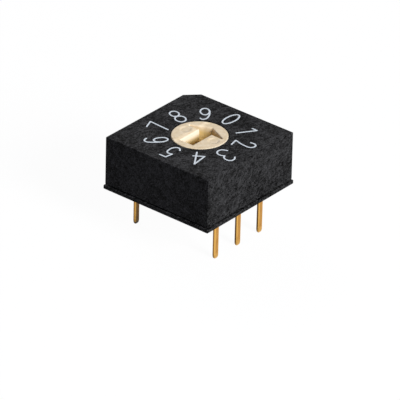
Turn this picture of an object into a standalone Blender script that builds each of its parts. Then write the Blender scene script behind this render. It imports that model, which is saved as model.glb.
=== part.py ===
"""Rotary coded dip switch: ten positions, a square body 10 mm wide, and six terminals for a board.

Metres, +Z up. The origin is the centre of the underside that seats on the board. The arrow of the rotor
points to +Y, which is position 0. Two rows of three terminals run along Y, at -X and at +X.
The sizes are worked out from the inside outwards: from the grid of the board's holes and the height of the
stack of moving pieces to the moulded body round them.
"""

import math

import bmesh
import bpy
from mathutils import Matrix, Vector

MM = 0.001
POINT_MERGE = 1e-7

# Clearances
FIT = 0.02 * MM  # between pieces that are moulded, glued or clamped together
SEAT = 0.05 * MM  # between the base's plug and the housing's walls
RUN = 0.05 * MM  # between pieces that turn or slide on each other
TOUCH = 0.03 * MM  # between a contact spring and the code disc

# Terminals, on the 0.1 inch grid
PIN_PITCH = 2.54 * MM
PIN_ROWS = 7.62 * MM
PIN_THICK = 0.25 * MM
PIN_WIDTH = 0.46 * MM
PIN_LENGTH = 3.53 * MM  # below the underside
PIN_TIP = 0.30 * MM
PIN_COINING = 0.05 * MM  # the flattened long edges of the stamped strip
TIP_SHARE = 0.4  # what is left of the section at the end of the tip
TIP_STEPS = 5
BEND_RADIUS = 0.10 * MM
FOOT_REACH = 0.95 * MM  # from the pin inwards

# Base
FLANGE_THICK = 0.31 * MM
FLANGE_LIP = 0.10 * MM
FLANGE_EDGE = 0.03 * MM
PLUG_HEIGHT = 0.69 * MM
PLUG_RIM = 0.245 * MM  # plastic outside the row of terminals
PIVOT_RADIUS = 0.55 * MM
PIVOT_TOP_EDGE = 0.10 * MM
SHOULDER_WIDTH = 0.30 * MM
TROUGH_WIDTH = 1.00 * MM
TROUGH_DEPTH = 0.25 * MM
TROUGH_END = 0.80 * MM  # past the last terminal
RESIN_SHRINK = 0.03 * MM

# Housing
WALL = 0.63 * MM
ROOF = 0.90 * MM
DRAFT = 0.01 * MM
CORNER_CHAMFER = 0.98 * MM
CORNER_RADIUS = 0.05 * MM
TOP_EDGE = 0.05 * MM
RELIEF_HEIGHT = 0.10 * MM  # the step back along the bottom edge, which makes the joint a clean line
RELIEF_DEPTH = 0.18 * MM
INNER_RADIUS = 0.12 * MM
CORNER_STEPS = 4
EDGE_STEPS = 3
BORE_EDGE = 0.05 * MM

# Seal
SEAL_SECTION = 0.50 * MM
SEAL_PLAY = 0.035 * MM
SEAL_WALL = 0.35 * MM
SEAL_ROUND_STEPS = 60
SEAL_SECTION_STEPS = 12

# Rotor
POSITIONS = 10
ROTOR_RADIUS = 2.12 * MM
ROTOR_EDGE = 0.08 * MM
ROTOR_SUNK = 0.02 * MM  # below the top of the housing
CONTACT_ROOM = 0.60 * MM  # between the base and the code disc
CARRIER_THICK = 0.50 * MM
CARRIER_RIM = 0.04 * MM
WHEEL_THICK = 0.60 * MM
WHEEL_EDGE = 0.05 * MM
NOTCH_DEPTH = 0.26 * MM
NOTCH_RADIUS = 0.55 * MM
PIVOT_ENGAGED = 0.80 * MM
NOTCH_STEPS = 8
CREST_STEPS = 6
ROUND_STEPS = 96

# Ejector marks on the rotor's face
MARK_PLACE = 1.33 * MM  # from the axis, to both sides of the arrow
MARK_RADIUS = 0.48 * MM
MARK_WALL = 0.16 * MM  # the slope round the mark's flat floor
MARK_DEPTH = 0.03 * MM
MARK_STEPS = 32

# Arrow recess in the rotor
ARROW_DEPTH = 1.00 * MM
ARROW_STEM = 1.14 * MM
ARROW_SHOULDER = 0.66 * MM  # from the axis to the back of the head
TIP_MARGIN = 0.68 * MM
TAIL_MARGIN = 0.65 * MM
BARB_MARGIN = 0.44 * MM
BARB_END = 0.08 * MM  # the barbs are blunt
ARROW_DRAFT = 0.015 * MM
ARROW_RIM = 0.09 * MM  # the rounding round the top of the recess
RIM_ANGLE = math.radians(75)  # where the rounding leaves the rotor's face
RIM_STEPS = 4

# Code disc
DISC_THICK = 0.15 * MM
DISC_GAP = 0.10 * MM  # outside the pivot's shoulder
TRACK_WEB = 0.12 * MM
SECTOR_STEPS = 4  # for one position
# Track number from the inside, terminal's row (+1 is +X) and place in it, and where on the track it touches
COMMON_TRACK = 0
CONTACTS = {
    "common_a": {"track": COMMON_TRACK, "side": 1, "place": 0, "angle": 0.0},
    "common_b": {"track": COMMON_TRACK, "side": -1, "place": 0, "angle": 180.0},
    "8": {"track": 1, "side": -1, "place": -1, "angle": 215.0},
    "4": {"track": 2, "side": 1, "place": 1, "angle": 35.0},
    "2": {"track": 3, "side": -1, "place": 1, "angle": 136.0},
    "1": {"track": 4, "side": 1, "place": -1, "angle": -52.0},
}
TRACKS = 5

# Contact springs
CONTACT_THICK = 0.08 * MM
CONTACT_WIDTH = 0.50 * MM
CONTACT_TIP_SHARE = 0.6
CONTACT_PAD = 0.55 * MM
CONTACT_NOSE = 0.22 * MM
CONTACT_NOSE_DROP = 0.12 * MM
CONTACT_NOSE_STEPS = 10

# Click springs
LEAF_THICK = 0.12 * MM
LEAF_BACKING = 0.13 * MM  # how far the bearing rib stands off the wall
LEAF_TO_CREST = 0.28 * MM
LEAF_EDGE_MARGIN = 0.05 * MM
LEAF_NOSE_HALF = 0.85 * MM
LEAF_NOSE_STEPS = 20
LEAF_CORNER_GAP = 0.24 * MM  # from the leaf's end to where the housing's corner is cut off inside
LEAF_TAB = 0.75 * MM
LEAF_TAB_STEP = 0.05 * MM
TAB_PLAY = 0.05 * MM
RIB_END = 0.27 * MM
RIB_HOOK = 0.27 * MM
RIB_LIFT = 0.20 * MM  # above the base's plug
POCKET_DEPTH = 0.15 * MM
POCKET_PLAY = 0.20 * MM

# How far cutters run past the surface that they cut, and joined shapes into each other
PAST = 0.20 * MM

# Heights, from the board up
base_top = FLANGE_THICK + PLUG_HEIGHT
disc_bottom = base_top + CONTACT_ROOM
disc_top = disc_bottom + DISC_THICK
wheel_bottom = disc_top + CARRIER_THICK
wheel_top = wheel_bottom + WHEEL_THICK
seal_seat = wheel_top + SEAL_SECTION + 2 * SEAL_PLAY
case_top = seal_seat + ROOF
roof_bottom = seal_seat + TOUCH
rotor_top = case_top - ROTOR_SUNK
pivot_top = disc_bottom + PIVOT_ENGAGED - RUN
foot_bottom = base_top - PIN_THICK

# Widths, from the rows of terminals out and in
pin_x = PIN_ROWS / 2
plug_half = pin_x + PIN_THICK / 2 + FIT + PLUG_RIM
cavity_half = plug_half + SEAT
case_half = cavity_half + WALL
flange_half = case_half + FLANGE_LIP
chamfer_per_inset = 2 - math.sqrt(2)
leaf_end = cavity_half - CORNER_CHAMFER + WALL * chamfer_per_inset - LEAF_CORNER_GAP
rib_face = cavity_half - LEAF_BACKING
leaf_outer = rib_face - FIT
leaf_line = leaf_outer - LEAF_THICK / 2
crest_radius = leaf_line - LEAF_THICK / 2 - LEAF_TO_CREST
notch_bottom = crest_radius - NOTCH_DEPTH
carrier_radius = notch_bottom - CARRIER_RIM
shoulder_radius = PIVOT_RADIUS + SHOULDER_WIDTH
disc_inner = shoulder_radius + DISC_GAP
track_width = (carrier_radius - disc_inner) / TRACKS
seal_wall_radius = ROTOR_RADIUS + SEAL_SECTION + RUN
bore_radius = ROTOR_RADIUS + RUN
position_angle = 2 * math.pi / POSITIONS


def clear_scene():
    for thing in list(bpy.data.objects):
        bpy.data.objects.remove(thing, do_unlink=True)


def plastic(name, colour, roughness):
    """A material for a moulded piece."""
    made = bpy.data.materials.new(name)
    made.use_nodes = True
    shader = made.node_tree.nodes["Principled BSDF"]
    shader.inputs["Base Color"].default_value = (*colour, 1.0)
    shader.inputs["Roughness"].default_value = roughness
    return made


def metal(name, colour, roughness):
    """A material for a stamped or plated piece."""
    made = plastic(name, colour, roughness)
    made.node_tree.nodes["Principled BSDF"].inputs["Metallic"].default_value = 1.0
    return made


def make_object(name, shape, finish, origin=(0, 0, 0), parent=None):
    """One named object from a bmesh in world coordinates, with its own origin."""
    mesh = bpy.data.meshes.new(name)
    shape.transform(Matrix.Translation(-Vector(origin)))
    shape.to_mesh(mesh)
    shape.free()
    mesh.materials.append(finish)
    thing = bpy.data.objects.new(name, mesh)
    bpy.context.collection.objects.link(thing)
    hang(thing, origin, parent)
    return thing


def hang(thing, origin, parent):
    """Puts an object at a place of the world, under its parent."""
    thing.parent = parent
    thing.location = Vector(origin) - (parent.location if parent else Vector())


def smooth(thing, degrees=32):
    thing.data.shade_smooth()
    thing.data.set_sharp_from_angle(angle=math.radians(degrees))


def combine(thing, operation, name, shape):
    """Cuts a helper shape out of an object, or joins it on, with a live Boolean."""
    mesh = bpy.data.meshes.new(name)
    shape.to_mesh(mesh)
    shape.free()
    helper = bpy.data.objects.new(name, mesh)
    bpy.context.collection.objects.link(helper)
    helper.matrix_world = Matrix.Identity(4)
    helper.hide_render = True
    helper.display_type = "WIRE"
    modifier = thing.modifiers.new(name, "BOOLEAN")
    modifier.operation = operation
    modifier.solver = "EXACT"
    modifier.object = helper


def cut(thing, name, shape):
    combine(thing, "DIFFERENCE", name, shape)


def join(thing, name, shape):
    combine(thing, "UNION", name, shape)


def lofted(rings):
    """A closed body through rings of equally many points, capped at both ends."""
    shape = bmesh.new()
    loops = [[shape.verts.new(point) for point in ring] for ring in rings]
    for lower, upper in zip(loops, loops[1:]):
        for i, corner in enumerate(lower):
            j = (i + 1) % len(lower)
            shape.faces.new((corner, lower[j], upper[j], upper[i]))
    shape.faces.new(loops[0])
    shape.faces.new(loops[-1])
    bmesh.ops.recalc_face_normals(shape, faces=shape.faces)
    return shape


def prism(outline, low, high):
    """An outline of (x, y) points, extruded along Z."""
    shape = bmesh.new()
    face = shape.faces.new([shape.verts.new((x, y, low)) for x, y in outline])
    grown = bmesh.ops.extrude_face_region(shape, geom=[face])
    risen = [item for item in grown["geom"] if isinstance(item, bmesh.types.BMVert)]
    bmesh.ops.translate(shape, verts=risen, vec=(0, 0, high - low))
    bmesh.ops.recalc_face_normals(shape, faces=shape.faces)
    return shape


def block(low, high):
    """A box between two corners."""
    corners = [(low[0], low[1]), (high[0], low[1]), (high[0], high[1]), (low[0], high[1])]
    return prism(corners, low[2], high[2])


def turned(profile, steps=ROUND_STEPS):
    """A profile of (radius, height) points spun about Z; one that stays off the axis closes into a ring."""
    shape = bmesh.new()
    points = [shape.verts.new((radius, 0, height)) for radius, height in profile]
    edges = [shape.edges.new(pair) for pair in zip(points, points[1:])]
    if profile[0][0] > 0:
        edges.append(shape.edges.new((points[-1], points[0])))
    bmesh.ops.spin(
        shape, geom=points + edges, cent=(0, 0, 0), axis=(0, 0, 1), angle=2 * math.pi, steps=steps
    )
    bmesh.ops.remove_doubles(shape, verts=shape.verts, dist=POINT_MERGE)
    bmesh.ops.recalc_face_normals(shape, faces=shape.faces)
    return shape


def polar(radius, angle):
    return Vector((radius * math.cos(angle), radius * math.sin(angle)))


def grown_outline(outline, by):
    """An anticlockwise outline moved outwards by a distance, with its corners kept sharp."""
    points = [Vector(point) for point in outline]
    moved = []
    for i, here in enumerate(points):
        before = (here - points[i - 1]).normalized()
        after = (points[(i + 1) % len(points)] - here).normalized()
        out_before = Vector((before.y, -before.x))
        out_after = Vector((after.y, -after.x))
        bisector = out_before + out_after
        moved.append(here + bisector * (2 * by / bisector.length_squared))
    return moved


def strip_sides(path, thickness):
    """The two sides of a strip that follows a path of (u, v) points, from end to end."""
    line = [Vector(point) for point in path]
    sides = ([], [])
    for i, here in enumerate(line):
        before = (here - line[i - 1]).normalized() if i else (line[1] - here).normalized()
        after = (line[i + 1] - here).normalized() if i + 1 < len(line) else before
        normal = Vector((-before.y - after.y, before.x + after.x))
        step = normal * (thickness / normal.length_squared)
        sides[0].append(here - step)
        sides[1].append(here + step)
    return sides


def body_outline(half, chamfer, radius):
    """The body seen from above: a square with its -X +Y corner cut off and each corner rounded."""
    corners = [
        Vector((half, -half)),
        Vector((half, half)),
        Vector((-half + chamfer, half)),
        Vector((-half, half - chamfer)),
        Vector((-half, -half)),
    ]
    outline = []
    for i, corner in enumerate(corners):
        back = (corners[i - 1] - corner).normalized()
        ahead = (corners[(i + 1) % len(corners)] - corner).normalized()
        between = back.angle(ahead)
        centre = corner + (back + ahead).normalized() * (radius / math.sin(between / 2))
        start = corner + back * (radius / math.tan(between / 2)) - centre
        for step in range(CORNER_STEPS + 1):
            turn = Matrix.Rotation((math.pi - between) * step / CORNER_STEPS, 2)
            outline.append(centre + turn @ start)
    return outline


def body_ring(half, chamfer, radius, height):
    return [(x, y, height) for x, y in body_outline(half, chamfer, radius)]


def inset_chamfer(inset):
    """The corner cut's leg on an outline that lies this far inside the housing's outside."""
    return CORNER_CHAMFER - inset * chamfer_per_inset


def housing(finish):
    """Moulded housing: four drafted walls and a roof, open below, bored for the rotor."""
    bottom = FLANGE_THICK + FIT
    relief = RELIEF_DEPTH - DRAFT
    rings = [
        body_ring(case_half - relief, inset_chamfer(relief), CORNER_RADIUS, bottom),
        body_ring(case_half - relief, inset_chamfer(relief), CORNER_RADIUS, bottom + RELIEF_HEIGHT),
        body_ring(case_half + DRAFT, inset_chamfer(-DRAFT), CORNER_RADIUS, bottom + RELIEF_HEIGHT),
    ]
    for step in range(EDGE_STEPS + 1):
        angle = math.pi / 2 * step / EDGE_STEPS
        inset = TOP_EDGE * (1 - math.cos(angle))
        height = case_top - TOP_EDGE * (1 - math.sin(angle))
        rings.append(body_ring(case_half - inset, inset_chamfer(inset), CORNER_RADIUS, height))
    made = make_object("housing", lofted(rings), finish)
    cavity = body_outline(cavity_half, inset_chamfer(WALL), INNER_RADIUS)
    cut(made, "housing_cavity", prism(cavity, -PAST, roof_bottom))
    seal_boss = [
        (bore_radius - BORE_EDGE, wheel_top + RUN),
        (seal_wall_radius + SEAL_WALL, wheel_top + RUN),
        (seal_wall_radius + SEAL_WALL, roof_bottom + PAST),
        (bore_radius - BORE_EDGE, roof_bottom + PAST),
    ]
    join(made, "housing_seal_boss", turned(seal_boss))
    bore = [
        (0, wheel_top - PAST),
        (seal_wall_radius, wheel_top - PAST),
        (seal_wall_radius, seal_seat),
        (bore_radius, seal_seat),
        (bore_radius, case_top - BORE_EDGE),
        (bore_radius + BORE_EDGE + PAST, case_top + PAST),
        (0, case_top + PAST),
    ]
    cut(made, "housing_bore", turned(bore))
    for x_sign in (-1, 1):
        for y_sign in (-1, 1):
            name = f"housing_rib_{x_sign}_{y_sign}"
            join(made, name, spring_rib(x_sign, y_sign))
    for y_sign in (-1, 1):
        near, far = sorted((y_sign * (cavity_half - PAST), y_sign * (cavity_half + POCKET_DEPTH)))
        reach = leaf_end - LEAF_TAB - LEAF_TAB_STEP
        low = (-reach, near, wheel_bottom - POCKET_PLAY)
        high = (reach, far, wheel_top + POCKET_PLAY)
        cut(made, f"housing_spring_pocket_{y_sign}", block(low, high))
    return made


def spring_rib(x_sign, y_sign):
    """Hooked rib on the wall, which backs one end of a click spring and stops it sliding along."""
    tab_start = leaf_end - LEAF_TAB
    hook = leaf_end + FIT
    outline = [
        (tab_start, rib_face),
        (hook, rib_face),
        (hook, rib_face - RIB_HOOK),
        (hook + RIB_END, rib_face - RIB_HOOK),
        (hook + RIB_END, cavity_half + PAST),
        (tab_start, cavity_half + PAST),
    ]
    placed = [(x * x_sign, y * y_sign) for x, y in outline]
    return prism(placed, base_top + RIB_LIFT, roof_bottom + PAST)


def base(finish):
    """Moulded base: a flange on the board, a plug in the housing and the rotor's pivot."""
    flange_chamfer = inset_chamfer(-FLANGE_LIP)
    plug_chamfer = inset_chamfer(WALL + SEAT)
    rings = [
        body_ring(flange_half - FLANGE_EDGE, flange_chamfer, CORNER_RADIUS, 0),
        body_ring(flange_half, flange_chamfer, CORNER_RADIUS, FLANGE_EDGE),
        body_ring(flange_half, flange_chamfer, CORNER_RADIUS, FLANGE_THICK - FLANGE_EDGE),
        body_ring(flange_half - FLANGE_EDGE, flange_chamfer, CORNER_RADIUS, FLANGE_THICK),
        body_ring(plug_half, plug_chamfer, INNER_RADIUS, FLANGE_THICK),
        body_ring(plug_half, plug_chamfer, INNER_RADIUS, base_top - FLANGE_EDGE),
        body_ring(plug_half - FLANGE_EDGE, plug_chamfer, INNER_RADIUS, base_top),
    ]
    made = make_object("base", lofted(rings), finish)
    pivot = [
        (0, base_top - PAST),
        (shoulder_radius, base_top - PAST),
        (shoulder_radius, disc_bottom - RUN),
        (PIVOT_RADIUS, disc_bottom - RUN),
        (PIVOT_RADIUS, pivot_top - PIVOT_TOP_EDGE),
        (PIVOT_RADIUS - PIVOT_TOP_EDGE, pivot_top),
        (0, pivot_top),
    ]
    join(made, "base_pivot", turned(pivot, ROUND_STEPS // 2))
    for side in (-1, 1):
        low, high = trough_box(side, 0)
        cut(made, f"base_trough_{side}", block((*low, -PAST), (*high, TROUGH_DEPTH)))
        for place in (-1, 0, 1):
            cut(made, f"base_slot_{side}_{place}", pin_slot(side, place, -PAST, base_top))
            cut(made, f"base_channel_{side}_{place}", foot_channel(side, place))
    return made


def trough_box(side, inset):
    """The (x, y) corners of the trough for sealing resin round one row of terminals."""
    half_length = PIN_PITCH + TROUGH_END - inset
    half_width = TROUGH_WIDTH / 2 - inset
    centre = side * pin_x
    return (centre - half_width, -half_length), (centre + half_width, half_length)


def pin_slot(side, place, low, high):
    """The hole for one pin, with its clearance."""
    x, y = side * pin_x, place * PIN_PITCH
    half_x, half_y = PIN_THICK / 2 + FIT, PIN_WIDTH / 2 + FIT
    return block((x - half_x, y - half_y, low), (x + half_x, y + half_y, high))


def foot_channel(side, place):
    """The channel in the plug's top for one terminal's foot, with room for its bend."""
    inner = pin_x - FOOT_REACH - FIT
    slot = pin_x - PIN_THICK / 2 - FIT
    outer = pin_x + PIN_THICK / 2 + FIT
    floor = foot_bottom - FIT
    section = [
        (inner, base_top + PAST),
        (inner, floor),
        (slot - BEND_RADIUS, floor),
        (slot, floor - BEND_RADIUS),
        (outer, floor - BEND_RADIUS),
        (outer, base_top + PAST),
    ]
    half_y = PIN_WIDTH / 2 + FIT
    ends = (place * PIN_PITCH - half_y, place * PIN_PITCH + half_y)
    return lofted([[(side * x, y, z) for x, z in section] for y in ends])


def sealing_resin(name, side, finish):
    """Strip of resin poured round a row of terminals and level with the underside."""
    low, high = trough_box(side, FIT)
    strip = block((*low, RESIN_SHRINK), (*high, TROUGH_DEPTH - FIT))
    made = make_object(name, strip, finish)
    for place in (-1, 0, 1):
        cut(made, f"{name}_hole_{place}", pin_slot(side, place, -PAST, TROUGH_DEPTH + PAST))
    return made


def terminal_section(centre, along, across, share=1.0):
    """The coined section of the terminal strip: eight points round a rectangle with flattened corners."""
    half_t = PIN_THICK / 2 * share
    half_w = PIN_WIDTH / 2 * share
    flat = PIN_COINING * share
    corners = [
        (half_t, half_w - flat),
        (half_t - flat, half_w),
        (flat - half_t, half_w),
        (-half_t, half_w - flat),
        (-half_t, flat - half_w),
        (flat - half_t, -half_w),
        (half_t - flat, -half_w),
        (half_t, flat - half_w),
    ]
    return [centre + along * t + across * w for t, w in corners]


def terminal_mesh():
    """Stamped pin, bent inwards at its top into a flat foot. Its own origin is on the pin, at the board."""
    across = Vector((0, 1, 0))
    upright = Vector((1, 0, 0))
    rings = []
    for step in range(TIP_STEPS + 1):
        angle = math.pi / 2 * step / TIP_STEPS
        share = TIP_SHARE + (1 - TIP_SHARE) * math.sin(angle)
        height = PIN_TIP * (1 - math.cos(angle)) - PIN_LENGTH
        rings.append(terminal_section(Vector((0, 0, height)), upright, across, share))
    middle = BEND_RADIUS + PIN_THICK / 2
    centre = Vector((-middle, 0, base_top - PIN_THICK / 2 - middle))
    for step in range(CORNER_STEPS + 1):
        angle = math.pi / 2 * step / CORNER_STEPS
        out = Vector((math.cos(angle), 0, math.sin(angle)))
        rings.append(terminal_section(centre + out * middle, out, across))
    end = Vector((-FOOT_REACH, 0, base_top - PIN_THICK / 2))
    rings.append(terminal_section(end, Vector((0, 0, 1)), across))
    shape = lofted(rings)
    mesh = bpy.data.meshes.new("terminal")
    shape.to_mesh(mesh)
    shape.free()
    return mesh


def terminals(finish):
    """Six terminals that share one mesh, the row at -X turned round."""
    mesh = terminal_mesh()
    mesh.materials.append(finish)
    for label, contact in CONTACTS.items():
        made = bpy.data.objects.new(f"terminal_{label}", mesh)
        bpy.context.collection.objects.link(made)
        made.location = (contact["side"] * pin_x, contact["place"] * PIN_PITCH, 0)
        made.rotation_euler.z = 0 if contact["side"] > 0 else math.pi


def contact_spring(label, contact, finish):
    """Thin leaf welded on a terminal's foot; its curled nose bears up on one track of the code disc."""
    start = Vector((contact["side"] * (pin_x - FOOT_REACH + CONTACT_PAD / 2), contact["place"] * PIN_PITCH))
    touch = polar(track_centre(contact["track"]), math.radians(contact["angle"]))
    run = touch - start
    reach = run.length
    low = base_top + FIT + CONTACT_THICK / 2
    high = disc_bottom - TOUCH - CONTACT_THICK / 2
    path = [(-CONTACT_PAD / 2, low), (CONTACT_PAD / 2, low)]
    for step in range(CONTACT_NOSE_STEPS + 1):
        share = 2 * step / CONTACT_NOSE_STEPS - 1
        path.append((reach + share * CONTACT_NOSE, high - CONTACT_NOSE_DROP * share * share))
    under, over = strip_sides(path, CONTACT_THICK)
    rings = []
    for below, above in zip(under, over):
        share = max(0.0, min(1.0, below.x / reach))
        half = CONTACT_WIDTH / 2 * (1 + (CONTACT_TIP_SHARE - 1) * share)
        ring = [(below.x, -half, below.y), (below.x, half, below.y)]
        ring += [(above.x, half, above.y), (above.x, -half, above.y)]
        rings.append(ring)
    shape = lofted(rings)
    turn = Matrix.Rotation(math.atan2(run.y, run.x), 4, "Z")
    shape.transform(Matrix.Translation((start.x, start.y, 0)) @ turn)
    return make_object(f"contact_spring_{label}", shape, finish, (start.x, start.y, base_top))


def click_spring(name, y_sign, finish):
    """Flat leaf with a rounded nose in the star wheel's notch, and tall tabs held between roof and base."""
    nose_line = notch_bottom + RUN + LEAF_THICK / 2
    rise = leaf_line - nose_line
    tab_start = leaf_end - LEAF_TAB
    tab = (base_top + TAB_PLAY, roof_bottom - TAB_PLAY)
    arm = (wheel_bottom + LEAF_EDGE_MARGIN, wheel_top - LEAF_EDGE_MARGIN)
    stations = [(-leaf_end, 0, tab), (-tab_start - LEAF_TAB_STEP, 0, tab), (-tab_start, 0, arm)]
    for step in range(LEAF_NOSE_STEPS + 1):
        x = LEAF_NOSE_HALF * (2 * step / LEAF_NOSE_STEPS - 1)
        dip = rise * (1 + math.cos(math.pi * x / LEAF_NOSE_HALF)) / 2
        stations.append((x, dip, arm))
    stations += [(tab_start, 0, arm), (tab_start + LEAF_TAB_STEP, 0, tab), (leaf_end, 0, tab)]
    path = [(x, leaf_line - dip) for x, dip, _ in stations]
    inner, outer = strip_sides(path, LEAF_THICK)
    rings = []
    for near, far, (_, _, (low, high)) in zip(inner, outer, stations):
        ring = [(near.x, near.y * y_sign, low), (far.x, far.y * y_sign, low)]
        ring += [(far.x, far.y * y_sign, high), (near.x, near.y * y_sign, high)]
        rings.append(ring)
    return make_object(name, lofted(rings), finish, (0, y_sign * leaf_line, wheel_bottom))


def seal_ring(finish):
    """Rubber ring between the rotor's neck and the housing's counterbore."""
    radius = ROTOR_RADIUS + RUN / 2 + SEAL_SECTION / 2
    height = wheel_top + SEAL_PLAY + SEAL_SECTION / 2
    profile = []
    for step in range(SEAL_SECTION_STEPS):
        around = 2 * math.pi * step / SEAL_SECTION_STEPS
        across = polar(SEAL_SECTION / 2, around)
        profile.append((radius + across.x, height + across.y))
    made = make_object("o_ring", turned(profile, SEAL_ROUND_STEPS), finish, (0, 0, height))
    smooth(made, 60)
    return made


def wheel_outline():
    """Star wheel seen from above: a round notch at each position, and the crest's arc between two notches."""
    centre_radius = notch_bottom + NOTCH_RADIUS
    half_notch = math.acos(
        (crest_radius**2 + centre_radius**2 - NOTCH_RADIUS**2) / (2 * crest_radius * centre_radius)
    )
    corner = polar(crest_radius, half_notch) - Vector((centre_radius, 0))
    opening = math.pi - math.atan2(corner.y, corner.x)
    outline = []
    for position in range(POSITIONS):
        middle = position * position_angle + math.pi / 2
        centre = polar(centre_radius, middle)
        for step in range(NOTCH_STEPS + 1):
            swing = opening * (1 - 2 * step / NOTCH_STEPS)
            outline.append(centre + polar(NOTCH_RADIUS, middle + math.pi + swing))
        crest = position_angle - 2 * half_notch
        for step in range(1, CREST_STEPS):
            outline.append(polar(crest_radius, middle + half_notch + crest * step / CREST_STEPS))
    return outline


def arrow_outline():
    """The recess seen from above: a square-ended stem with an arrow head towards +Y."""
    barb_radius = ROTOR_RADIUS - BARB_MARGIN
    barb = math.sqrt(barb_radius**2 - ARROW_SHOULDER**2)
    stem = ARROW_STEM / 2
    return [
        (-stem, TAIL_MARGIN - ROTOR_RADIUS),
        (stem, TAIL_MARGIN - ROTOR_RADIUS),
        (stem, ARROW_SHOULDER),
        (barb, ARROW_SHOULDER),
        (barb, ARROW_SHOULDER + BARB_END),
        (0, ROTOR_RADIUS - TIP_MARGIN),
        (-barb, ARROW_SHOULDER + BARB_END),
        (-barb, ARROW_SHOULDER),
        (-stem, ARROW_SHOULDER),
    ]


def arrow_cutter():
    """The recess as a shape: drafted walls that round over into the rotor's face."""
    levels = [(0, rotor_top - ARROW_DEPTH)]
    for step in range(RIM_STEPS + 1):
        angle = RIM_ANGLE * step / RIM_STEPS
        growth = ARROW_DRAFT + ARROW_RIM * (1 - math.cos(angle))
        levels.append((growth, rotor_top - ARROW_RIM * (1 - math.sin(angle))))
    past = ARROW_RIM / 2
    levels.append((growth + past * math.sin(RIM_ANGLE), levels[-1][1] + past * math.cos(RIM_ANGLE)))
    rings = []
    for growth, height in levels:
        rings.append([(x, y, height) for x, y in grown_outline(arrow_outline(), growth)])
    return lofted(rings)


def mark_cutter(side):
    """The shallow round mark that an ejector pin of the mould leaves on the rotor's face."""
    slope = MARK_DEPTH / MARK_WALL
    profile = [
        (0, rotor_top - MARK_DEPTH),
        (MARK_RADIUS - MARK_WALL, rotor_top - MARK_DEPTH),
        (MARK_RADIUS + PAST, rotor_top + PAST * slope),
        (0, rotor_top + PAST * slope),
    ]
    shape = turned(profile, MARK_STEPS)
    shape.transform(Matrix.Translation((side * MARK_PLACE, 0, 0)))
    return shape


def track_centre(track):
    return disc_inner + (track + 0.5) * track_width


def code_windows():
    """(track, first angle, last angle, positions) of each stretch where a code track doesn't conduct."""
    windows = []
    for label, contact in CONTACTS.items():
        if contact["track"] == COMMON_TRACK:
            continue
        weight = int(label)
        idle = [place for place in range(POSITIONS) if not place & weight]
        starts = [place for place in idle if (place - 1) % POSITIONS not in idle]
        for start in starts:
            count = 1
            while (start + count) % POSITIONS in idle:
                count += 1
            first = math.radians(contact["angle"]) + (start - 0.5) * position_angle
            windows.append((contact["track"], first, first + count * position_angle, count))
    return windows


def window_outline(window, inset):
    """A stretch of one track as an outline, this far inside the opening."""
    track, first, last, count = window
    half = track_width / 2 - TRACK_WEB / 2 - inset
    inner = track_centre(track) - half
    outer = track_centre(track) + half
    steps = count * SECTOR_STEPS
    outline = []
    for radius, begin, end in ((outer, first, last), (inner, last, first)):
        shrink = inset / radius * (1 if end > begin else -1)
        for step in range(steps + 1):
            angle = begin + shrink + (end - begin - 2 * shrink) * step / steps
            outline.append(polar(radius, angle))
    return outline


def code_disc(finish, parent):
    """Plated disc under the rotor: one common track and four code tracks with windows."""
    profile = [
        (disc_inner, disc_bottom),
        (carrier_radius, disc_bottom),
        (carrier_radius, disc_top - FIT),
        (disc_inner, disc_top - FIT),
    ]
    made = make_object("code_disc", turned(profile), finish, (0, 0, disc_bottom), parent)
    for number, window in enumerate(code_windows()):
        shape = prism(window_outline(window, 0), disc_bottom - PAST, disc_top + PAST)
        cut(made, f"code_disc_window_{number}", shape)
    return made


def rotor(finish, parent):
    """Moulded rotor: neck with the arrow recess, star wheel, disc carrier, and lands in the disc's windows."""
    wheel_middle = (wheel_bottom + wheel_top) / 2
    profile = [
        (0, disc_bottom),
        (disc_inner - FIT, disc_bottom),
        (disc_inner - FIT, disc_top),
        (carrier_radius, disc_top),
        (carrier_radius, wheel_middle),
        (ROTOR_RADIUS, wheel_middle),
    ]
    for step in range(EDGE_STEPS + 1):
        inset, rise = polar(ROTOR_EDGE, math.pi / 2 * step / EDGE_STEPS)
        profile.append((ROTOR_RADIUS - ROTOR_EDGE + inset, rotor_top - ROTOR_EDGE + rise))
    profile.append((0, rotor_top))
    made = make_object("rotor", turned(profile), finish, (0, 0, wheel_bottom), parent)
    star = wheel_outline()
    levels = [
        (-WHEEL_EDGE, wheel_bottom),
        (0, wheel_bottom + WHEEL_EDGE),
        (0, wheel_top - WHEEL_EDGE),
        (-WHEEL_EDGE, wheel_top),
    ]
    rings = [[(x, y, height) for x, y in grown_outline(star, growth)] for growth, height in levels]
    join(made, "rotor_star_wheel", lofted(rings))
    for number, window in enumerate(code_windows()):
        land = prism(window_outline(window, FIT), disc_bottom, disc_top + PAST)
        join(made, f"rotor_land_{number}", land)
    pivot_bore = [
        (0, disc_bottom - PAST),
        (PIVOT_RADIUS + RUN, disc_bottom - PAST),
        (PIVOT_RADIUS + RUN, pivot_top + RUN),
        (0, pivot_top + RUN),
    ]
    cut(made, "rotor_pivot_bore", turned(pivot_bore, ROUND_STEPS // 2))
    cut(made, "rotor_arrow_recess", arrow_cutter())
    for side in (-1, 1):
        cut(made, f"rotor_ejector_mark_{side}", mark_cutter(side))
    smooth(made)
    return made


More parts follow.
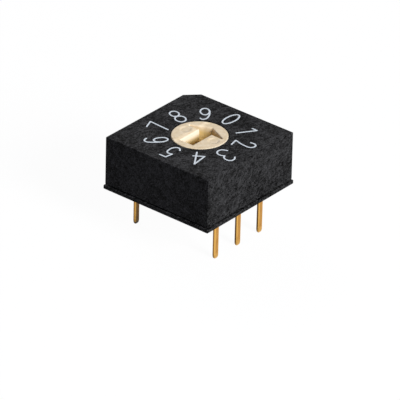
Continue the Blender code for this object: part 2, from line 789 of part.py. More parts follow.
def build():
    clear_scene()
    black = plastic("black_glass_filled_polyester", (0.026, 0.026, 0.028), 0.55)
    cream = plastic("cream_nylon", (0.80, 0.68, 0.47), 0.5)
    rubber = plastic("black_rubber", (0.015, 0.015, 0.015), 0.8)
    resin = plastic("dark_sealing_resin", (0.03, 0.025, 0.02), 0.3)
    gold = metal("gold_plated_bronze", (0.83, 0.60, 0.24), 0.28)
    steel = metal("spring_steel", (0.60, 0.60, 0.58), 0.35)
    turning = bpy.data.objects.new("rotor_axis", None)
    bpy.context.collection.objects.link(turning)
    turning.location = (0, 0, wheel_bottom)
    housing(black)
    base(black)
    sealing_resin("sealing_resin_a", 1, resin)
    sealing_resin("sealing_resin_b", -1, resin)
    terminals(gold)
    for label, contact in CONTACTS.items():
        contact_spring(label, contact, gold)
    click_spring("click_spring_front", -1, steel)
    click_spring("click_spring_back", 1, steel)
    seal_ring(rubber)
    rotor(cream, turning)
    code_disc(gold, turning)


build()
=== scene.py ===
"""Rotary dip switch: the camera, light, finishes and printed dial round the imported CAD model."""

import math

import bpy
from mathutils import Matrix, Vector


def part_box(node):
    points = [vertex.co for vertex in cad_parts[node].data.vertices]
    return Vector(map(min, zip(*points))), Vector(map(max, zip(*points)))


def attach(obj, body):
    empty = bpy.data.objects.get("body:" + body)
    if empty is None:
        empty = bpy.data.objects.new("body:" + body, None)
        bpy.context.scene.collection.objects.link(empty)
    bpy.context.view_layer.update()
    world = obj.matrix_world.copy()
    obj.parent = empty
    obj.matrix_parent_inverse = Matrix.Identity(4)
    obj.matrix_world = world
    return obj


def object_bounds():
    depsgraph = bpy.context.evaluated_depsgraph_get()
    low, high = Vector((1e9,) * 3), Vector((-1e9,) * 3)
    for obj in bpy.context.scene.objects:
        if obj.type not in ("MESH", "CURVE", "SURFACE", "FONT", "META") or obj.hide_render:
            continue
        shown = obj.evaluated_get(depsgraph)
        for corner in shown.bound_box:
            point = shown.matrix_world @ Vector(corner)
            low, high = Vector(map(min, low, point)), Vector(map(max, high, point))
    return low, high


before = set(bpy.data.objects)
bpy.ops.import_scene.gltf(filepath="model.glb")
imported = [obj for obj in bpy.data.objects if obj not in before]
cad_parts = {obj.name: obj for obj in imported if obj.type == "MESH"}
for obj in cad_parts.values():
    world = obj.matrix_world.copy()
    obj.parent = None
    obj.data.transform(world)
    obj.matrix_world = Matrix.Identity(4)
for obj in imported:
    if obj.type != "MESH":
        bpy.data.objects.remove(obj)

# The box of the CAD model, whose lowest point the floor stands at.
cad_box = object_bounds()
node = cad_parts


# Camera: a long lens in front of the corner between the pins' side and the front, 30 degrees up.
# Place, distance and roll were fitted to the photograph on the 2.54 mm grid of the pins.
MM = 0.001
VIEW_AZIMUTH = math.radians(39.074)
VIEW_ELEVATION = math.radians(29.744)
VIEW_ROLL = math.radians(1.408)
VIEW_DISTANCE = 321.3 * MM
VIEW_TARGET = Vector((0, 0, 2.064 * MM))
VIEW_OFFSET = Vector((-0.067 * MM, 2.826 * MM, 0))
VIEW_NEAREST = 10 * MM
VIEW_FURTHEST = 2000 * MM
FRAME_PIXELS = 400
PIXELS_PER_MM = 13.607
SENSOR_WIDTH = 36

back = Vector((
    math.sin(VIEW_AZIMUTH) * math.cos(VIEW_ELEVATION),
    -math.cos(VIEW_AZIMUTH) * math.cos(VIEW_ELEVATION),
    math.sin(VIEW_ELEVATION),
))
level = Vector((math.cos(VIEW_AZIMUTH), math.sin(VIEW_AZIMUTH), 0))
turned = Matrix((level, back.cross(level), back)).transposed() @ Matrix.Rotation(VIEW_ROLL, 3, "Z")

bpy.ops.object.select_all(action="DESELECT")
bpy.ops.object.camera_add()
camera = bpy.context.object
camera.name = "camera"
camera.matrix_world = Matrix.Translation(
    VIEW_TARGET + turned @ (Vector((0, 0, VIEW_DISTANCE)) - VIEW_OFFSET)
) @ turned.to_4x4()
camera.data.sensor_width = SENSOR_WIDTH
camera.data.lens = SENSOR_WIDTH * PIXELS_PER_MM * VIEW_DISTANCE / MM / FRAME_PIXELS
camera.data.clip_start = VIEW_NEAREST
camera.data.clip_end = VIEW_FURTHEST
bpy.context.scene.camera = camera
bpy.context.scene.view_settings.view_transform = "Standard"


# Floor and background: a white paper floor under a white surround, which the camera, metal and
# gloss see at full white. Seen from below, the floor is clear, so that the underside shows.
FLOOR_HALF = 300 * MM
FLOOR_SHADE = 0.05
FLOOR_GLOW = 0.96
SURROUND = (0.107, 0.108, 0.136, 1)
FULL_WHITE = (1, 1, 1, 1)
# A Mix node has several sockets of one name: these are its factor, its two colours and its result.
MIX_BY, MIX_FROM, MIX_TO, MIXED = 0, 6, 7, 2


def add_node(tree, kind, inputs=None, **settings):
    """Adds a node; inputs gives each socket, by name or number, a value or a node's output."""
    made = tree.nodes.new(kind)
    for name, value in settings.items():
        setattr(made, name, value)
    for socket, value in (inputs or {}).items():
        if isinstance(value, bpy.types.NodeSocket):
            tree.links.new(value, made.inputs[socket])
        else:
            made.inputs[socket].default_value = value
    return made


def seen_ray(tree):
    """1 on a ray from the camera, off gloss or through glass, and 0 on one that lights a surface."""
    path = add_node(tree, "ShaderNodeLightPath")
    either = add_node(
        tree, "ShaderNodeMath",
        {0: path.outputs["Is Camera Ray"], 1: path.outputs["Is Glossy Ray"]},
        operation="MAXIMUM",
    )
    return add_node(
        tree, "ShaderNodeMath",
        {0: either.outputs[0], 1: path.outputs["Is Transmission Ray"]},
        operation="MAXIMUM",
    ).outputs[0]


def new_material(name):
    """An empty node material with its tree."""
    made = bpy.data.materials.new(name)
    made.use_nodes = True
    made.node_tree.nodes.clear()
    return made, made.node_tree


bpy.ops.mesh.primitive_plane_add(size=2 * FLOOR_HALF, location=(0, 0, cad_box[0].z))
floor = bpy.context.object
floor.name = "paper_floor"
paper, tree = new_material("white_paper")
lit = add_node(
    tree, "ShaderNodeBsdfDiffuse", {"Color": (FLOOR_SHADE, FLOOR_SHADE, FLOOR_SHADE, 1)}
)
glow_level = add_node(
    tree, "ShaderNodeMath", {0: seen_ray(tree), 1: FLOOR_GLOW}, operation="MULTIPLY"
)
glow = add_node(tree, "ShaderNodeEmission", {"Strength": glow_level.outputs[0]})
front = add_node(tree, "ShaderNodeAddShader", {0: lit.outputs[0], 1: glow.outputs[0]})
clear = add_node(tree, "ShaderNodeBsdfTransparent")
side = add_node(tree, "ShaderNodeNewGeometry")
both = add_node(
    tree, "ShaderNodeMixShader",
    {0: side.outputs["Backfacing"], 1: front.outputs[0], 2: clear.outputs[0]},
)
add_node(tree, "ShaderNodeOutputMaterial", {"Surface": both.outputs[0]})
floor.data.materials.append(paper)

world = bpy.data.worlds.new("white_surround")
bpy.context.scene.world = world
world.use_nodes = True
tree = world.node_tree
tree.nodes.clear()
shade = add_node(
    tree, "ShaderNodeMix",
    {MIX_BY: seen_ray(tree), MIX_FROM: SURROUND, MIX_TO: FULL_WHITE}, data_type="RGBA",
)
sky = add_node(tree, "ShaderNodeBackground", {"Color": shade.outputs[MIXED]})
add_node(tree, "ShaderNodeOutputWorld", {"Surface": sky.outputs[0]})


# Light: a soft key lamp at the right, 28 degrees up, throws the rim's shadow across the arrow's
# recess. A pale one behind lifts the top, and a weak bluish one in front keeps the front from black.
# A lamp of level 1 gives a white surface that faces it a brightness of 1.
LAMP_DISTANCE = 400 * MM
LAMPS = {
    # name: (degrees round from +X, degrees up, width in mm, level, colour)
    "key_lamp": (-8, 28, 165, 1.33, (0.975, 0.98, 1.0)),
    "back_lamp": (160, 35, 250, 0.26, (1.0, 1.0, 1.0)),
    "fill_lamp": (-95, 12, 250, 0.058, (0.64, 0.66, 1.0)),
}

for name, (azimuth, elevation, width, level, colour) in LAMPS.items():
    round_angle, up_angle = math.radians(azimuth), math.radians(elevation)
    toward_lamp = Vector((
        math.cos(round_angle) * math.cos(up_angle),
        math.sin(round_angle) * math.cos(up_angle),
        math.sin(up_angle),
    ))
    bpy.ops.object.light_add(type="AREA", location=LAMP_DISTANCE * toward_lamp)
    lamp = bpy.context.object
    lamp.name = name
    lamp.rotation_euler = toward_lamp.to_track_quat("Z", "Y").to_euler()
    lamp.data.shape = "DISK"
    lamp.data.size = width * MM
    lamp.data.color = colour
    lamp.data.energy = level * math.pi**2 * LAMP_DISTANCE**2


# Housing: the square cap over the works, moulded in black polyester with chopped glass in it.
# It is glued down on the base, and its matt skin shows flow marks and the ends of fibres.
POLYESTER_DARK = "000000"
POLYESTER_PALE = "444445"
# Each grain of the skin: (width in mm, length along the flow in mm, detail, weight). A real fibre
# is 0.01 mm thick, so the finest grains are drawn as coarse as they need to be to show.
POLYESTER_GRAINS = (
    (0.09, 0.09, 2, 1.8),
    (0.07, 0.90, 2, 1.8),
    (0.18, 1.80, 1, 1.0),
    (0.50, 0.70, 2, 0.8),
    (2.50, 4.00, 1, 0.6),
)
# Grains narrower than this, in mm, can be felt as well as seen.
FELT_BELOW = 0.15
FLOW_TURN = math.radians(62)
FLOW_RISE = math.radians(24)
SKIN_MEAN = 0.32
# The mottle's contrast on the sides and on the top, where the extra is painted glints.
SIDE_CONTRAST = 1.0
TOP_CONTRAST_AND_GLINTS = 1.35
SKIN_RELIEF = 0.012 * MM
NOISE_MEAN = 0.5


def linear_rgb(code):
    """An sRGB hex code as the linear colour that a shader takes."""
    parts = [int(code[i:i + 2], 16) / 255 for i in (0, 2, 4)]
    return (*[c / 12.92 if c <= 0.04045 else ((c + 0.055) / 1.055) ** 2.4 for c in parts], 1)


polyester, tree = new_material("moulded_glass_filled_polyester")
place = add_node(tree, "ShaderNodeTexCoord")
grains = 0
height = NOISE_MEAN
for width, length, detail, weight in POLYESTER_GRAINS:
    # The melt ran up the sides at a slant, and the grain is drawn out along its flow.
    along_flow = add_node(
        tree, "ShaderNodeMapping",
        {
            "Vector": place.outputs["Object"],
            "Rotation": (0, -FLOW_RISE, FLOW_TURN),
            "Scale": (length * MM, width * MM, width * MM),
        },
        vector_type="TEXTURE",
    )
    grain = add_node(
        tree, "ShaderNodeTexNoise", {"Vector": along_flow.outputs[0], "Scale": 1, "Detail": detail}
    )
    offset = add_node(
        tree, "ShaderNodeMath", {0: grain.outputs["Fac"], 1: NOISE_MEAN}, operation="SUBTRACT"
    )
    grains = add_node(
        tree, "ShaderNodeMath", {0: offset.outputs[0], 1: weight, 2: grains},
        operation="MULTIPLY_ADD",
    ).outputs[0]
    if width < FELT_BELOW:
        height = add_node(
            tree, "ShaderNodeMath", {0: offset.outputs[0], 1: weight, 2: height},
            operation="MULTIPLY_ADD",
        ).outputs[0]
# The mottle is painted stronger on the top than on the sides, as painted glints on its grain.
facing = add_node(tree, "ShaderNodeSeparateXYZ", {"Vector": place.outputs["Normal"]})
contrast = add_node(
    tree, "ShaderNodeMapRange",
    {"Value": facing.outputs["Z"], "To Min": SIDE_CONTRAST, "To Max": TOP_CONTRAST_AND_GLINTS},
)
tone = add_node(
    tree, "ShaderNodeMath", {0: grains, 1: contrast.outputs[0], 2: SKIN_MEAN},
    operation="MULTIPLY_ADD",
)
skin = add_node(
    tree, "ShaderNodeMix",
    {
        MIX_BY: tone.outputs[0],
        MIX_FROM: linear_rgb(POLYESTER_DARK),
        MIX_TO: linear_rgb(POLYESTER_PALE),
    },
    data_type="RGBA",
)
relief = add_node(
    tree, "ShaderNodeBump", {"Height": height, "Strength": 1, "Distance": SKIN_RELIEF}
)
surface = add_node(
    tree, "ShaderNodeBsdfPrincipled",
    {
        "Base Color": skin.outputs[MIXED],
        "Roughness": 0.6,
        "Specular IOR Level": 0.03,
        "Normal": relief.outputs[0],
    },
)
add_node(tree, "ShaderNodeOutputMaterial", {"Surface": surface.outputs[0]})
node["housing"].data.materials[0] = polyester


# Dial: ten numbers screen-printed round the rotor in pale ink, 36 degrees apart, with 0 at the back.
# Each number's foot points at the rotor. The ink stands a hundredth of a millimetre proud, and is
# a little greyer in patches, where it lies thin.
INK_THIN = "C8D2D8"
INK_FULL = "E6ECF0"
INK_PATCH = 0.25 * MM
INK_WIDTH = 0.12 * MM
INK_PROUD = 0.012 * MM
INK_SUNK = 0.010 * MM
INK_HEIGHT = INK_SUNK + INK_PROUD
POSITIONS = 10
STROKE_STEPS = 8
ROUND_STEPS = 16
case_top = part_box("housing")[1].z

# Each number is drawn in mm, with its own right as x and away from the rotor as y: first its open
# strokes as points on them, then its ovals as (centre x, centre y, half width, half height, tilt).
NUMBER_STROKES = {
    0: ([], [(0.205, 3.35, 0.375, 0.87, -1)]),
    1: ([[(0.32, 2.69), (0.275, 4.26)], [(0.275, 4.26), (-0.08, 4.02)]], []),
    2: (
        [
            [(-0.38, 3.87), (-0.27, 4.24), (-0.02, 4.36), (0.29, 4.14), (0.20, 3.57), (-0.27, 2.73)],
            [(-0.27, 2.73), (0.42, 2.665)],
        ],
        [],
    ),
    3: (
        [
            [(-0.40, 4.14), (-0.26, 4.33), (0.10, 4.42), (0.33, 4.19), (0.30, 3.76), (0.12, 3.60)],
            [(0.12, 3.60), (0.37, 3.34), (0.33, 2.89), (-0.04, 2.72), (-0.28, 2.83), (-0.46, 3.05)],
        ],
        [],
    ),
    4: (
        [
            [(0.03, 2.65), (0.095, 4.44)],
            [(0.095, 4.44), (-0.57, 3.24)],
            [(-0.57, 3.24), (0.265, 3.23)],
        ],
        [],
    ),
    5: (
        [
            [(0.26, 4.23), (-0.29, 4.225)],
            [(-0.29, 4.225), (-0.38, 3.60)],
            [(-0.38, 3.60), (0.02, 3.64), (0.21, 3.26), (0.08, 2.69), (-0.23, 2.59), (-0.46, 2.81)],
        ],
        [],
    ),
    6: (
        [[(0.27, 3.96), (0.05, 4.16), (-0.16, 4.14), (-0.41, 3.59), (-0.49, 3.03)]],
        [(-0.155, 2.98, 0.325, 0.53, -2)],
    ),
    7: ([[(-0.44, 4.015), (0.38, 4.06)], [(0.38, 4.06), (0.07, 3.265), (-0.25, 2.415)]], []),
    8: ([], [(0.07, 3.63, 0.345, 0.405, -10), (0.045, 2.74, 0.39, 0.455, -3)]),
    9: (
        [[(0.50, 3.69), (0.49, 2.95), (0.25, 2.43), (0.0, 2.37), (-0.13, 2.50)]],
        [(0.15, 3.56, 0.34, 0.50, 4)],
    ),
}


def ink_bar(line):
    """Makes a drawn curve a flat bar of ink: it becomes a wall, and the wall is thickened."""
    bpy.ops.object.convert(target="MESH")
    bpy.ops.object.mode_set(mode="EDIT")
    bpy.ops.mesh.select_all(action="SELECT")
    bpy.ops.mesh.extrude_edges_move(TRANSFORM_OT_translate={"value": (0, 0, INK_HEIGHT)})
    bpy.ops.object.mode_set(mode="OBJECT")
    wall = line.modifiers.new("width", "SOLIDIFY")
    wall.thickness = INK_WIDTH
    wall.offset = 0
    wall.use_even_offset = True
    bpy.ops.object.modifier_apply(modifier=wall.name)
    return line


def ink_stroke(points):
    """An open stroke through the points."""
    bpy.ops.object.select_all(action="DESELECT")
    bpy.ops.curve.primitive_bezier_curve_add(location=(0, 0, 0))
    line = bpy.context.object
    spline = line.data.splines[0]
    spline.bezier_points.add(len(points) - len(spline.bezier_points))
    for knot, (x, y) in zip(spline.bezier_points, points):
        knot.handle_left_type = knot.handle_right_type = "AUTO"
        knot.co = (x * MM, y * MM, 0)
        knot.handle_left = knot.handle_right = knot.co
    line.data.resolution_u = STROKE_STEPS
    return ink_bar(line)


def ink_oval(x, y, half_width, half_height, tilt):
    """A closed oval stroke, turned by the tilt in degrees."""
    bpy.ops.object.select_all(action="DESELECT")
    bpy.ops.curve.primitive_bezier_circle_add(
        radius=MM, location=(x * MM, y * MM, 0), rotation=(0, 0, math.radians(tilt))
    )
    line = bpy.context.object
    line.scale = (half_width, half_height, 1)
    bpy.ops.object.transform_apply(location=True, rotation=True, scale=True)
    line.data.resolution_u = STROKE_STEPS
    return ink_bar(line)


def ink_dot(x, y):
    """The round end of a stroke."""
    bpy.ops.object.select_all(action="DESELECT")
    bpy.ops.mesh.primitive_cylinder_add(
        vertices=ROUND_STEPS, radius=INK_WIDTH / 2, depth=INK_HEIGHT,
        location=(x * MM, y * MM, INK_HEIGHT / 2),
    )
    bpy.ops.object.transform_apply(location=True, rotation=False, scale=False)
    return bpy.context.object


def pick(piece):
    """Selects one piece alone and makes it the active one."""
    bpy.ops.object.select_all(action="DESELECT")
    piece.select_set(True)
    bpy.context.view_layer.objects.active = piece


ink, tree = new_material("pale_screen_ink")
place = add_node(tree, "ShaderNodeTexCoord").outputs["Object"]
patchy = add_node(
    tree, "ShaderNodeTexNoise",
    {"Vector": place, "Scale": 1 / INK_PATCH, "Detail": 3, "Roughness": 0.6},
)
ink_shade = add_node(
    tree, "ShaderNodeMix",
    {
        MIX_BY: patchy.outputs["Fac"],
        MIX_FROM: linear_rgb(INK_THIN),
        MIX_TO: linear_rgb(INK_FULL),
    },
    data_type="RGBA",
)
surface = add_node(
    tree, "ShaderNodeBsdfPrincipled",
    {"Base Color": ink_shade.outputs[MIXED], "Roughness": 0.55, "Specular IOR Level": 0.3},
)
add_node(tree, "ShaderNodeOutputMaterial", {"Surface": surface.outputs[0]})

for number, (strokes, ovals) in NUMBER_STROKES.items():
    parts = [ink_stroke(points) for points in strokes]
    parts += [ink_oval(*oval) for oval in ovals]
    # Where two strokes share an end, it gets one dot.
    ends = dict.fromkeys(end for points in strokes for end in (points[0], points[-1]))
    parts += [ink_dot(*end) for end in ends]
    # The strokes are joined one at a time, which gives the same mesh on every run.
    figure = parts[0]
    for part in parts[1:]:
        pick(figure)
        union = figure.modifiers.new("union", "BOOLEAN")
        union.operation = "UNION"
        union.solver = "MANIFOLD"
        union.object = part
        bpy.ops.object.modifier_apply(modifier=union.name)
        bpy.data.objects.remove(part)
    figure.name = f"dial_number_{number}"
    figure.location = (0, 0, case_top - INK_SUNK)
    figure.rotation_euler = (0, 0, -2 * math.pi * number / POSITIONS)
    pick(figure)
    bpy.ops.object.transform_apply(location=True, rotation=True, scale=True)
    figure.data.materials.clear()
    figure.data.materials.append(ink)
    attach(figure, "case")


# Base: the plate that closes the housing from below, moulded in the same black polyester.
# Its edge stands out as a thin ledge, and the terminals were moulded into it.
node["base"].data.materials[0] = polyester


# Sealing resin: dark epoxy poured into the two troughs in the underside, round the terminals' feet.
# It sets glossy, with specks of filler and a skin that ripples a little.
RESIN_DARK = "1A1410"
RESIN_PALE = "2E241C"
RESIN_SPECK = 0.5 * MM
RIPPLE_SIZE = 1.2 * MM
RIPPLE_HEIGHT = 0.05 * MM
resin, tree = new_material("poured_dark_epoxy")
place = add_node(tree, "ShaderNodeTexCoord").outputs["Object"]
ripple = add_node(
    tree, "ShaderNodeTexNoise", {"Vector": place, "Scale": 1 / RIPPLE_SIZE, "Detail": 1}
)
specks = add_node(tree, "ShaderNodeTexVoronoi", {"Vector": place, "Scale": 1 / RESIN_SPECK})
resin_shade = add_node(
    tree, "ShaderNodeMix",
    {
        MIX_BY: specks.outputs["Distance"],
        MIX_FROM: linear_rgb(RESIN_DARK),
        MIX_TO: linear_rgb(RESIN_PALE),
    },
    data_type="RGBA",
)
relief = add_node(
    tree, "ShaderNodeBump",
    {"Height": ripple.outputs["Fac"], "Strength": 0.5, "Distance": RIPPLE_HEIGHT},
)
surface = add_node(
    tree, "ShaderNodeBsdfPrincipled",
    {
        "Base Color": resin_shade.outputs[MIXED],
        "Roughness": 0.12,
        "IOR": 1.55,
        "Normal": relief.outputs[0],
    },
)
add_node(tree, "ShaderNodeOutputMaterial", {"Surface": surface.outputs[0]})
for name in ("sealing_resin_a", "sealing_resin_b"):
    node[name].data.materials[0] = resin


# Rotor: the knob with the arrow recess, moulded in cream nylon with its star wheel in one piece.
# The recess is painted golden and darker with depth, as painted shade and bounce light deep in it.
# Its walls facing +X, towards the key lamp, carry painted light, and their painted shade starts
# lower.
NYLON_PALE = "F0DEBF"
NYLON_DEEP = "E0CAA4"
# Colour of the painted shade deep in the recess.
NYLON_PAINTED_SHADE = "D4B87A"
# Colour of the painted light on walls facing +X, towards the key lamp.
NYLON_PAINTED_LIGHT = "F2E5CE"
NYLON_HAZE = 0.35 * MM
# The part of a noise's range that it seldom leaves.
NOISE_LOW, NOISE_HIGH = 0.3, 0.7
# How far a wall faces +X, from where its painted light begins to where it is full.
PAINTED_LIGHT_FROM, PAINTED_LIGHT_TO = 0.3, 0.9
# How much lower the painted shade starts on a wall with full painted light.
PAINTED_LIGHT_REACH = 0.22 * MM
# Levels where the recess's painted shade begins and where it is full.
PAINTED_SHADE_FROM = case_top - 0.05 * MM
PAINTED_SHADE_TO = case_top - 0.50 * MM
GRAIN_SIZE = 0.16 * MM
GRAIN_HEIGHT = 0.006 * MM
MARK_PLACE = 1.33 * MM
MARK_INNER = 0.28 * MM
MARK_OUTER = 0.48 * MM
MARK_DEPTH = 0.030 * MM
RIM_FROM = -1.05 * MM
RIM_TO = -0.5 * MM
RIM_DROP = 0.11 * MM
LIGHT_DEPTH = 0.15 * MM
nylon, tree = new_material("moulded_cream_nylon")
around = add_node(tree, "ShaderNodeTexCoord")
place = around.outputs["Object"]
haze = add_node(
    tree, "ShaderNodeTexNoise",
    {"Vector": place, "Scale": 1 / NYLON_HAZE, "Detail": 3, "Roughness": 0.55},
)
haze_range = add_node(
    tree, "ShaderNodeMapRange",
    {"Value": haze.outputs["Fac"], "From Min": NOISE_LOW, "From Max": NOISE_HIGH},
)
nylon_shade = add_node(
    tree, "ShaderNodeMix",
    {
        MIX_BY: haze_range.outputs[0],
        MIX_FROM: linear_rgb(NYLON_DEEP),
        MIX_TO: linear_rgb(NYLON_PALE),
    },
    data_type="RGBA",
)
level_of = add_node(tree, "ShaderNodeSeparateXYZ", {"Vector": place})
facing = add_node(tree, "ShaderNodeSeparateXYZ", {"Vector": around.outputs["Normal"]})
# Painted light: walls facing +X, towards the key lamp, are painted paler.
painted_light_on_wall = add_node(
    tree, "ShaderNodeMapRange",
    {"Value": facing.outputs["X"], "From Min": PAINTED_LIGHT_FROM, "From Max": PAINTED_LIGHT_TO},
)
wall_with_painted_light = add_node(
    tree, "ShaderNodeMix",
    {
        MIX_BY: painted_light_on_wall.outputs[0],
        MIX_FROM: nylon_shade.outputs[MIXED],
        MIX_TO: linear_rgb(NYLON_PAINTED_LIGHT),
    },
    data_type="RGBA",
)
# Painted shade: deeper down the colour turns golden and darker, lower on walls with painted light.
painted_shade_level = add_node(
    tree, "ShaderNodeMath",
    {0: painted_light_on_wall.outputs[0], 1: PAINTED_LIGHT_REACH, 2: level_of.outputs["Z"]},
    operation="MULTIPLY_ADD",
)
painted_shade_range = add_node(
    tree, "ShaderNodeMapRange",
    {"Value": painted_shade_level.outputs[0], "From Min": PAINTED_SHADE_FROM, "From Max": PAINTED_SHADE_TO},
)
nylon_with_painted_shade = add_node(
    tree, "ShaderNodeMix",
    {
        MIX_BY: painted_shade_range.outputs[0],
        MIX_FROM: wall_with_painted_light.outputs[MIXED],
        MIX_TO: linear_rgb(NYLON_PAINTED_SHADE),
    },
    data_type="RGBA",
)
# Two ejector pins left shallow round marks, and the rim at the left of the recess is rolled over.
fine = add_node(tree, "ShaderNodeTexNoise", {"Vector": place, "Scale": 1 / GRAIN_SIZE, "Detail": 3})
either_side = add_node(tree, "ShaderNodeMath", {0: level_of.outputs["X"]}, operation="ABSOLUTE")
on_top = add_node(
    tree, "ShaderNodeCombineXYZ", {"X": either_side.outputs[0], "Y": level_of.outputs["Y"]}
)
from_mark = add_node(
    tree, "ShaderNodeVectorMath", {0: on_top.outputs[0], 1: (MARK_PLACE, 0, 0)},
    operation="DISTANCE",
)
mark_level = add_node(
    tree, "ShaderNodeMapRange",
    {
        "Value": from_mark.outputs["Value"],
        "From Min": MARK_INNER,
        "From Max": MARK_OUTER,
        "To Max": MARK_DEPTH,
    },
    interpolation_type="SMOOTHSTEP",
)
rim_level = add_node(
    tree, "ShaderNodeMapRange",
    {
        "Value": level_of.outputs["X"],
        "From Min": RIM_FROM,
        "From Max": RIM_TO,
        "To Min": RIM_DROP,
        "To Max": 0,
    },
    interpolation_type="SMOOTHSTEP",
)
rim_and_mark = add_node(
    tree, "ShaderNodeMath", {0: mark_level.outputs[0], 1: rim_level.outputs[0]}, operation="ADD"
)
nylon_height = add_node(
    tree, "ShaderNodeMath",
    {0: fine.outputs["Fac"], 1: GRAIN_HEIGHT, 2: rim_and_mark.outputs[0]},
    operation="MULTIPLY_ADD",
)
relief = add_node(
    tree, "ShaderNodeBump", {"Height": nylon_height.outputs[0], "Strength": 1, "Distance": 1}
)
surface = add_node(
    tree, "ShaderNodeBsdfPrincipled",
    {
        "Base Color": nylon_with_painted_shade.outputs[MIXED],
        "Roughness": 0.42,
        "IOR": 1.53,
        "Specular IOR Level": 0.2,
        "Subsurface Weight": 0.15,
        "Subsurface Radius": (1.0, 1.0, 1.0),
        "Subsurface Scale": LIGHT_DEPTH,
        "Normal": relief.outputs[0],
    },
)
add_node(tree, "ShaderNodeOutputMaterial", {"Surface": surface.outputs[0]})
node["rotor"].data.materials[0] = nylon


# Terminals: six legs punched from bronze strip 0.25 mm thick, rounded at the tips and gold-plated.
# Each punched edge has a bright sheared band beside a darker torn one, and the edges are painted
# brighter than the broad faces, as painted reflection. The faces carry a painted highlight at their
# edges and tips. Rolling leaves finer lines than these, which are drawn to show.
PIN_ROW = 3.81 * MM
PIN_PITCH = 2.54 * MM
PIN_TORN = "6A4218"
PIN_SHEARED = "F4BE66"
PIN_FACE_DARK = "AC7630"
PIN_FACE_PALE = "D6A052"
# Colour of the painted highlight.
PIN_PAINTED_HIGHLIGHT = "F6C268"
PIN_SHADED = "1E1408"
# From the middle of the strip's thickness towards +X.
TORN_TO = -0.04 * MM
SHEARED_FROM = 0.12 * MM
# The painted highlight along each face's edges, from the middle of the face to either side.
HIGHLIGHT_FROM = 0.11 * MM
HIGHLIGHT_TO = 0.21 * MM
# The painted highlight at the tips, at levels from the underside of the base.
TIP_FROM = -2.95 * MM
TIP_TO = -3.40 * MM
# How strong the painted highlight gets.
HIGHLIGHT_MOST = 0.8
LINE_WIDTH = 0.05 * MM
LINE_LENGTH = 0.6 * MM
LINE_DEPTH = 0.002 * MM
# The share of the surroundings that is open, from full shade to none.
OPEN_REACH = 6 * MM
OPEN_SAMPLES = 32
OPEN_LEAST, OPEN_MOST = 0.38, 0.50
gold, tree = new_material("punched_gold_plated_bronze")
place = add_node(tree, "ShaderNodeTexCoord")
rolled = add_node(
    tree, "ShaderNodeMapping",
    {
        "Vector": place.outputs["Object"],
        "Scale": (1 / LINE_WIDTH, 1 / LINE_WIDTH, 1 / LINE_LENGTH),
    },
)
lines = add_node(
    tree, "ShaderNodeTexNoise",
    {"Vector": rolled.outputs[0], "Scale": 1, "Detail": 3, "Roughness": 0.6},
)
lines_range = add_node(
    tree, "ShaderNodeMapRange",
    {"Value": lines.outputs["Fac"], "From Min": NOISE_LOW, "From Max": NOISE_HIGH},
)
spot = add_node(tree, "ShaderNodeSeparateXYZ", {"Vector": place.outputs["Object"]})
row = add_node(tree, "ShaderNodeMath", {0: spot.outputs["X"]}, operation="SIGN")
across = add_node(
    tree, "ShaderNodeMath", {0: row.outputs[0], 1: -PIN_ROW, 2: spot.outputs["X"]},
    operation="MULTIPLY_ADD",
)
sheared = add_node(
    tree, "ShaderNodeMapRange",
    {"Value": across.outputs[0], "From Min": TORN_TO, "From Max": SHEARED_FROM},
)
punched_shade = add_node(
    tree, "ShaderNodeMix",
    {
        MIX_BY: sheared.outputs[0],
        MIX_FROM: linear_rgb(PIN_TORN),
        MIX_TO: linear_rgb(PIN_SHEARED),
    },
    data_type="RGBA",
)
broad_shade = add_node(
    tree, "ShaderNodeMix",
    {
        MIX_BY: lines_range.outputs[0],
        MIX_FROM: linear_rgb(PIN_FACE_DARK),
        MIX_TO: linear_rgb(PIN_FACE_PALE),
    },
    data_type="RGBA",
)
along = add_node(
    tree, "ShaderNodeMath", {0: spot.outputs["Y"], 1: PIN_PITCH / 2, 2: -PIN_PITCH / 2},
    operation="WRAP",
)
off_centre = add_node(tree, "ShaderNodeMath", {0: along.outputs[0]}, operation="ABSOLUTE")
near_edge = add_node(
    tree, "ShaderNodeMapRange",
    {
        "Value": off_centre.outputs[0],
        "From Min": HIGHLIGHT_FROM,
        "From Max": HIGHLIGHT_TO,
        "To Max": HIGHLIGHT_MOST,
    },
)
near_tip = add_node(
    tree, "ShaderNodeMapRange",
    {
        "Value": spot.outputs["Z"],
        "From Min": TIP_FROM,
        "From Max": TIP_TO,
        "To Max": HIGHLIGHT_MOST,
    },
)
# Painted highlight: the faces are painted bright near their edges and tips.
painted_highlight = add_node(
    tree, "ShaderNodeMath", {0: near_edge.outputs[0], 1: near_tip.outputs[0]},
    operation="MAXIMUM",
)
face_shade = add_node(
    tree, "ShaderNodeMix",
    {
        MIX_BY: painted_highlight.outputs[0],
        MIX_FROM: broad_shade.outputs[MIXED],
        MIX_TO: linear_rgb(PIN_PAINTED_HIGHLIGHT),
    },
    data_type="RGBA",
)
# Painted reflection: faces pointing along Y, the narrow edges, take the mostly brighter punched
# colours, and faces pointing along X take the face colours.
facing = add_node(tree, "ShaderNodeSeparateXYZ", {"Vector": place.outputs["Normal"]})
broad = add_node(tree, "ShaderNodeMath", {0: facing.outputs["X"]}, operation="ABSOLUTE")
strip_with_painted_reflection = add_node(
    tree, "ShaderNodeMix",
    {
        MIX_BY: broad.outputs[0],
        MIX_FROM: punched_shade.outputs[MIXED],
        MIX_TO: face_shade.outputs[MIXED],
    },
    data_type="RGBA",
)
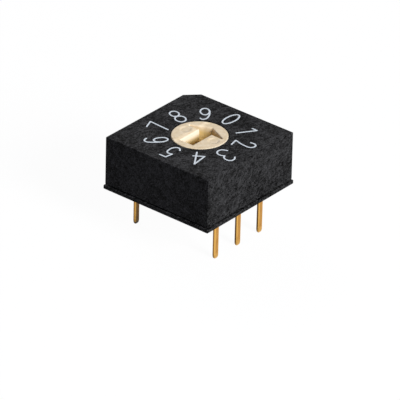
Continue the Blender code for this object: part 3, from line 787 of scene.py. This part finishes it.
# Under the switch the plating mirrors the dark base and the shade below it, but for the tips of
# the row at +X, which stand clear of it.
open_share = add_node(
    tree, "ShaderNodeAmbientOcclusion", {"Distance": OPEN_REACH}, samples=OPEN_SAMPLES
)
open_range = add_node(
    tree, "ShaderNodeMapRange",
    {"Value": open_share.outputs["AO"], "From Min": OPEN_LEAST, "From Max": OPEN_MOST},
)
outer_tip = add_node(
    tree, "ShaderNodeMath", {0: near_tip.outputs[0], 1: row.outputs[0]}, operation="MULTIPLY"
)
clear_of_shade = add_node(
    tree, "ShaderNodeMath", {0: open_range.outputs[0], 1: outer_tip.outputs[0]},
    operation="MAXIMUM",
)
gold_shade = add_node(
    tree, "ShaderNodeMix",
    {
        MIX_BY: clear_of_shade.outputs[0],
        MIX_FROM: linear_rgb(PIN_SHADED),
        MIX_TO: strip_with_painted_reflection.outputs[MIXED],
    },
    data_type="RGBA",
)
relief = add_node(
    tree, "ShaderNodeBump",
    {"Height": lines.outputs["Fac"], "Strength": 1, "Distance": LINE_DEPTH},
)
surface = add_node(
    tree, "ShaderNodeBsdfPrincipled",
    {
        "Base Color": gold_shade.outputs[MIXED],
        "Metallic": 1,
        "Roughness": 0.32,
        "Normal": relief.outputs[0],
    },
)
add_node(tree, "ShaderNodeOutputMaterial", {"Surface": surface.outputs[0]})
for name, piece in node.items():
    if name.startswith("terminal_"):
        piece.data.materials[0] = gold


# Contact springs and code disc: punched from thin bronze strip and gold-plated all over. Each spring
# is welded on a terminal's foot and bears up on the disc, which turns with the rotor. The strip
# keeps faint lines from rolling, drawn as coarse as the terminals'.
PLATE_DARK = "C89444"
PLATE_PALE = "E6B65E"
THIN_LINE_LENGTH = 1.5 * MM
plate, tree = new_material("gold_plated_spring_bronze")
place = add_node(tree, "ShaderNodeTexCoord").outputs["Object"]
rolled = add_node(
    tree, "ShaderNodeMapping",
    {"Vector": place, "Scale": (1 / LINE_WIDTH, 1 / THIN_LINE_LENGTH, 1 / LINE_WIDTH)},
)
lines = add_node(tree, "ShaderNodeTexNoise", {"Vector": rolled.outputs[0], "Scale": 1, "Detail": 3})
plate_shade = add_node(
    tree, "ShaderNodeMix",
    {
        MIX_BY: lines.outputs["Fac"],
        MIX_FROM: linear_rgb(PLATE_DARK),
        MIX_TO: linear_rgb(PLATE_PALE),
    },
    data_type="RGBA",
)
surface = add_node(
    tree, "ShaderNodeBsdfPrincipled",
    {"Base Color": plate_shade.outputs[MIXED], "Metallic": 1, "Roughness": 0.28},
)
add_node(tree, "ShaderNodeOutputMaterial", {"Surface": surface.outputs[0]})
for name, piece in node.items():
    if name.startswith("contact_spring_") or name == "code_disc":
        piece.data.materials[0] = plate


# Click springs: two leaves of stainless strip in the housing's corners, in front of the star wheel
# and behind it. The nose of each sits in a notch of the wheel. The strip is bright, with fine lines
# from rolling.
STEEL_DARK = "A6A6A2"
STEEL_PALE = "C9C9C4"
STEEL_LINE_WIDTH = 0.04 * MM
steel, tree = new_material("rolled_spring_steel")
place = add_node(tree, "ShaderNodeTexCoord").outputs["Object"]
rolled = add_node(
    tree, "ShaderNodeMapping",
    {
        "Vector": place,
        "Scale": (1 / THIN_LINE_LENGTH, 1 / STEEL_LINE_WIDTH, 1 / STEEL_LINE_WIDTH),
    },
)
lines = add_node(tree, "ShaderNodeTexNoise", {"Vector": rolled.outputs[0], "Scale": 1, "Detail": 3})
steel_shade = add_node(
    tree, "ShaderNodeMix",
    {
        MIX_BY: lines.outputs["Fac"],
        MIX_FROM: linear_rgb(STEEL_DARK),
        MIX_TO: linear_rgb(STEEL_PALE),
    },
    data_type="RGBA",
)
surface = add_node(
    tree, "ShaderNodeBsdfPrincipled",
    {"Base Color": steel_shade.outputs[MIXED], "Metallic": 1, "Roughness": 0.3},
)
add_node(tree, "ShaderNodeOutputMaterial", {"Surface": surface.outputs[0]})
for name in ("click_spring_front", "click_spring_back"):
    node[name].data.materials[0] = steel


# Seal: a ring of black rubber round the rotor's neck, pressed into the housing's counterbore.
# It is moulded, and dull, with a faint bloom.
RUBBER_DARK = "121212"
RUBBER_PALE = "262626"
BLOOM_SIZE = 0.3 * MM
rubber, tree = new_material("moulded_black_rubber")
place = add_node(tree, "ShaderNodeTexCoord").outputs["Object"]
bloom = add_node(tree, "ShaderNodeTexNoise", {"Vector": place, "Scale": 1 / BLOOM_SIZE, "Detail": 3})
rubber_shade = add_node(
    tree, "ShaderNodeMix",
    {
        MIX_BY: bloom.outputs["Fac"],
        MIX_FROM: linear_rgb(RUBBER_DARK),
        MIX_TO: linear_rgb(RUBBER_PALE),
    },
    data_type="RGBA",
)
surface = add_node(
    tree, "ShaderNodeBsdfPrincipled",
    {"Base Color": rubber_shade.outputs[MIXED], "Roughness": 0.75},
)
add_node(tree, "ShaderNodeOutputMaterial", {"Surface": surface.outputs[0]})
node["o_ring"].data.materials[0] = rubber
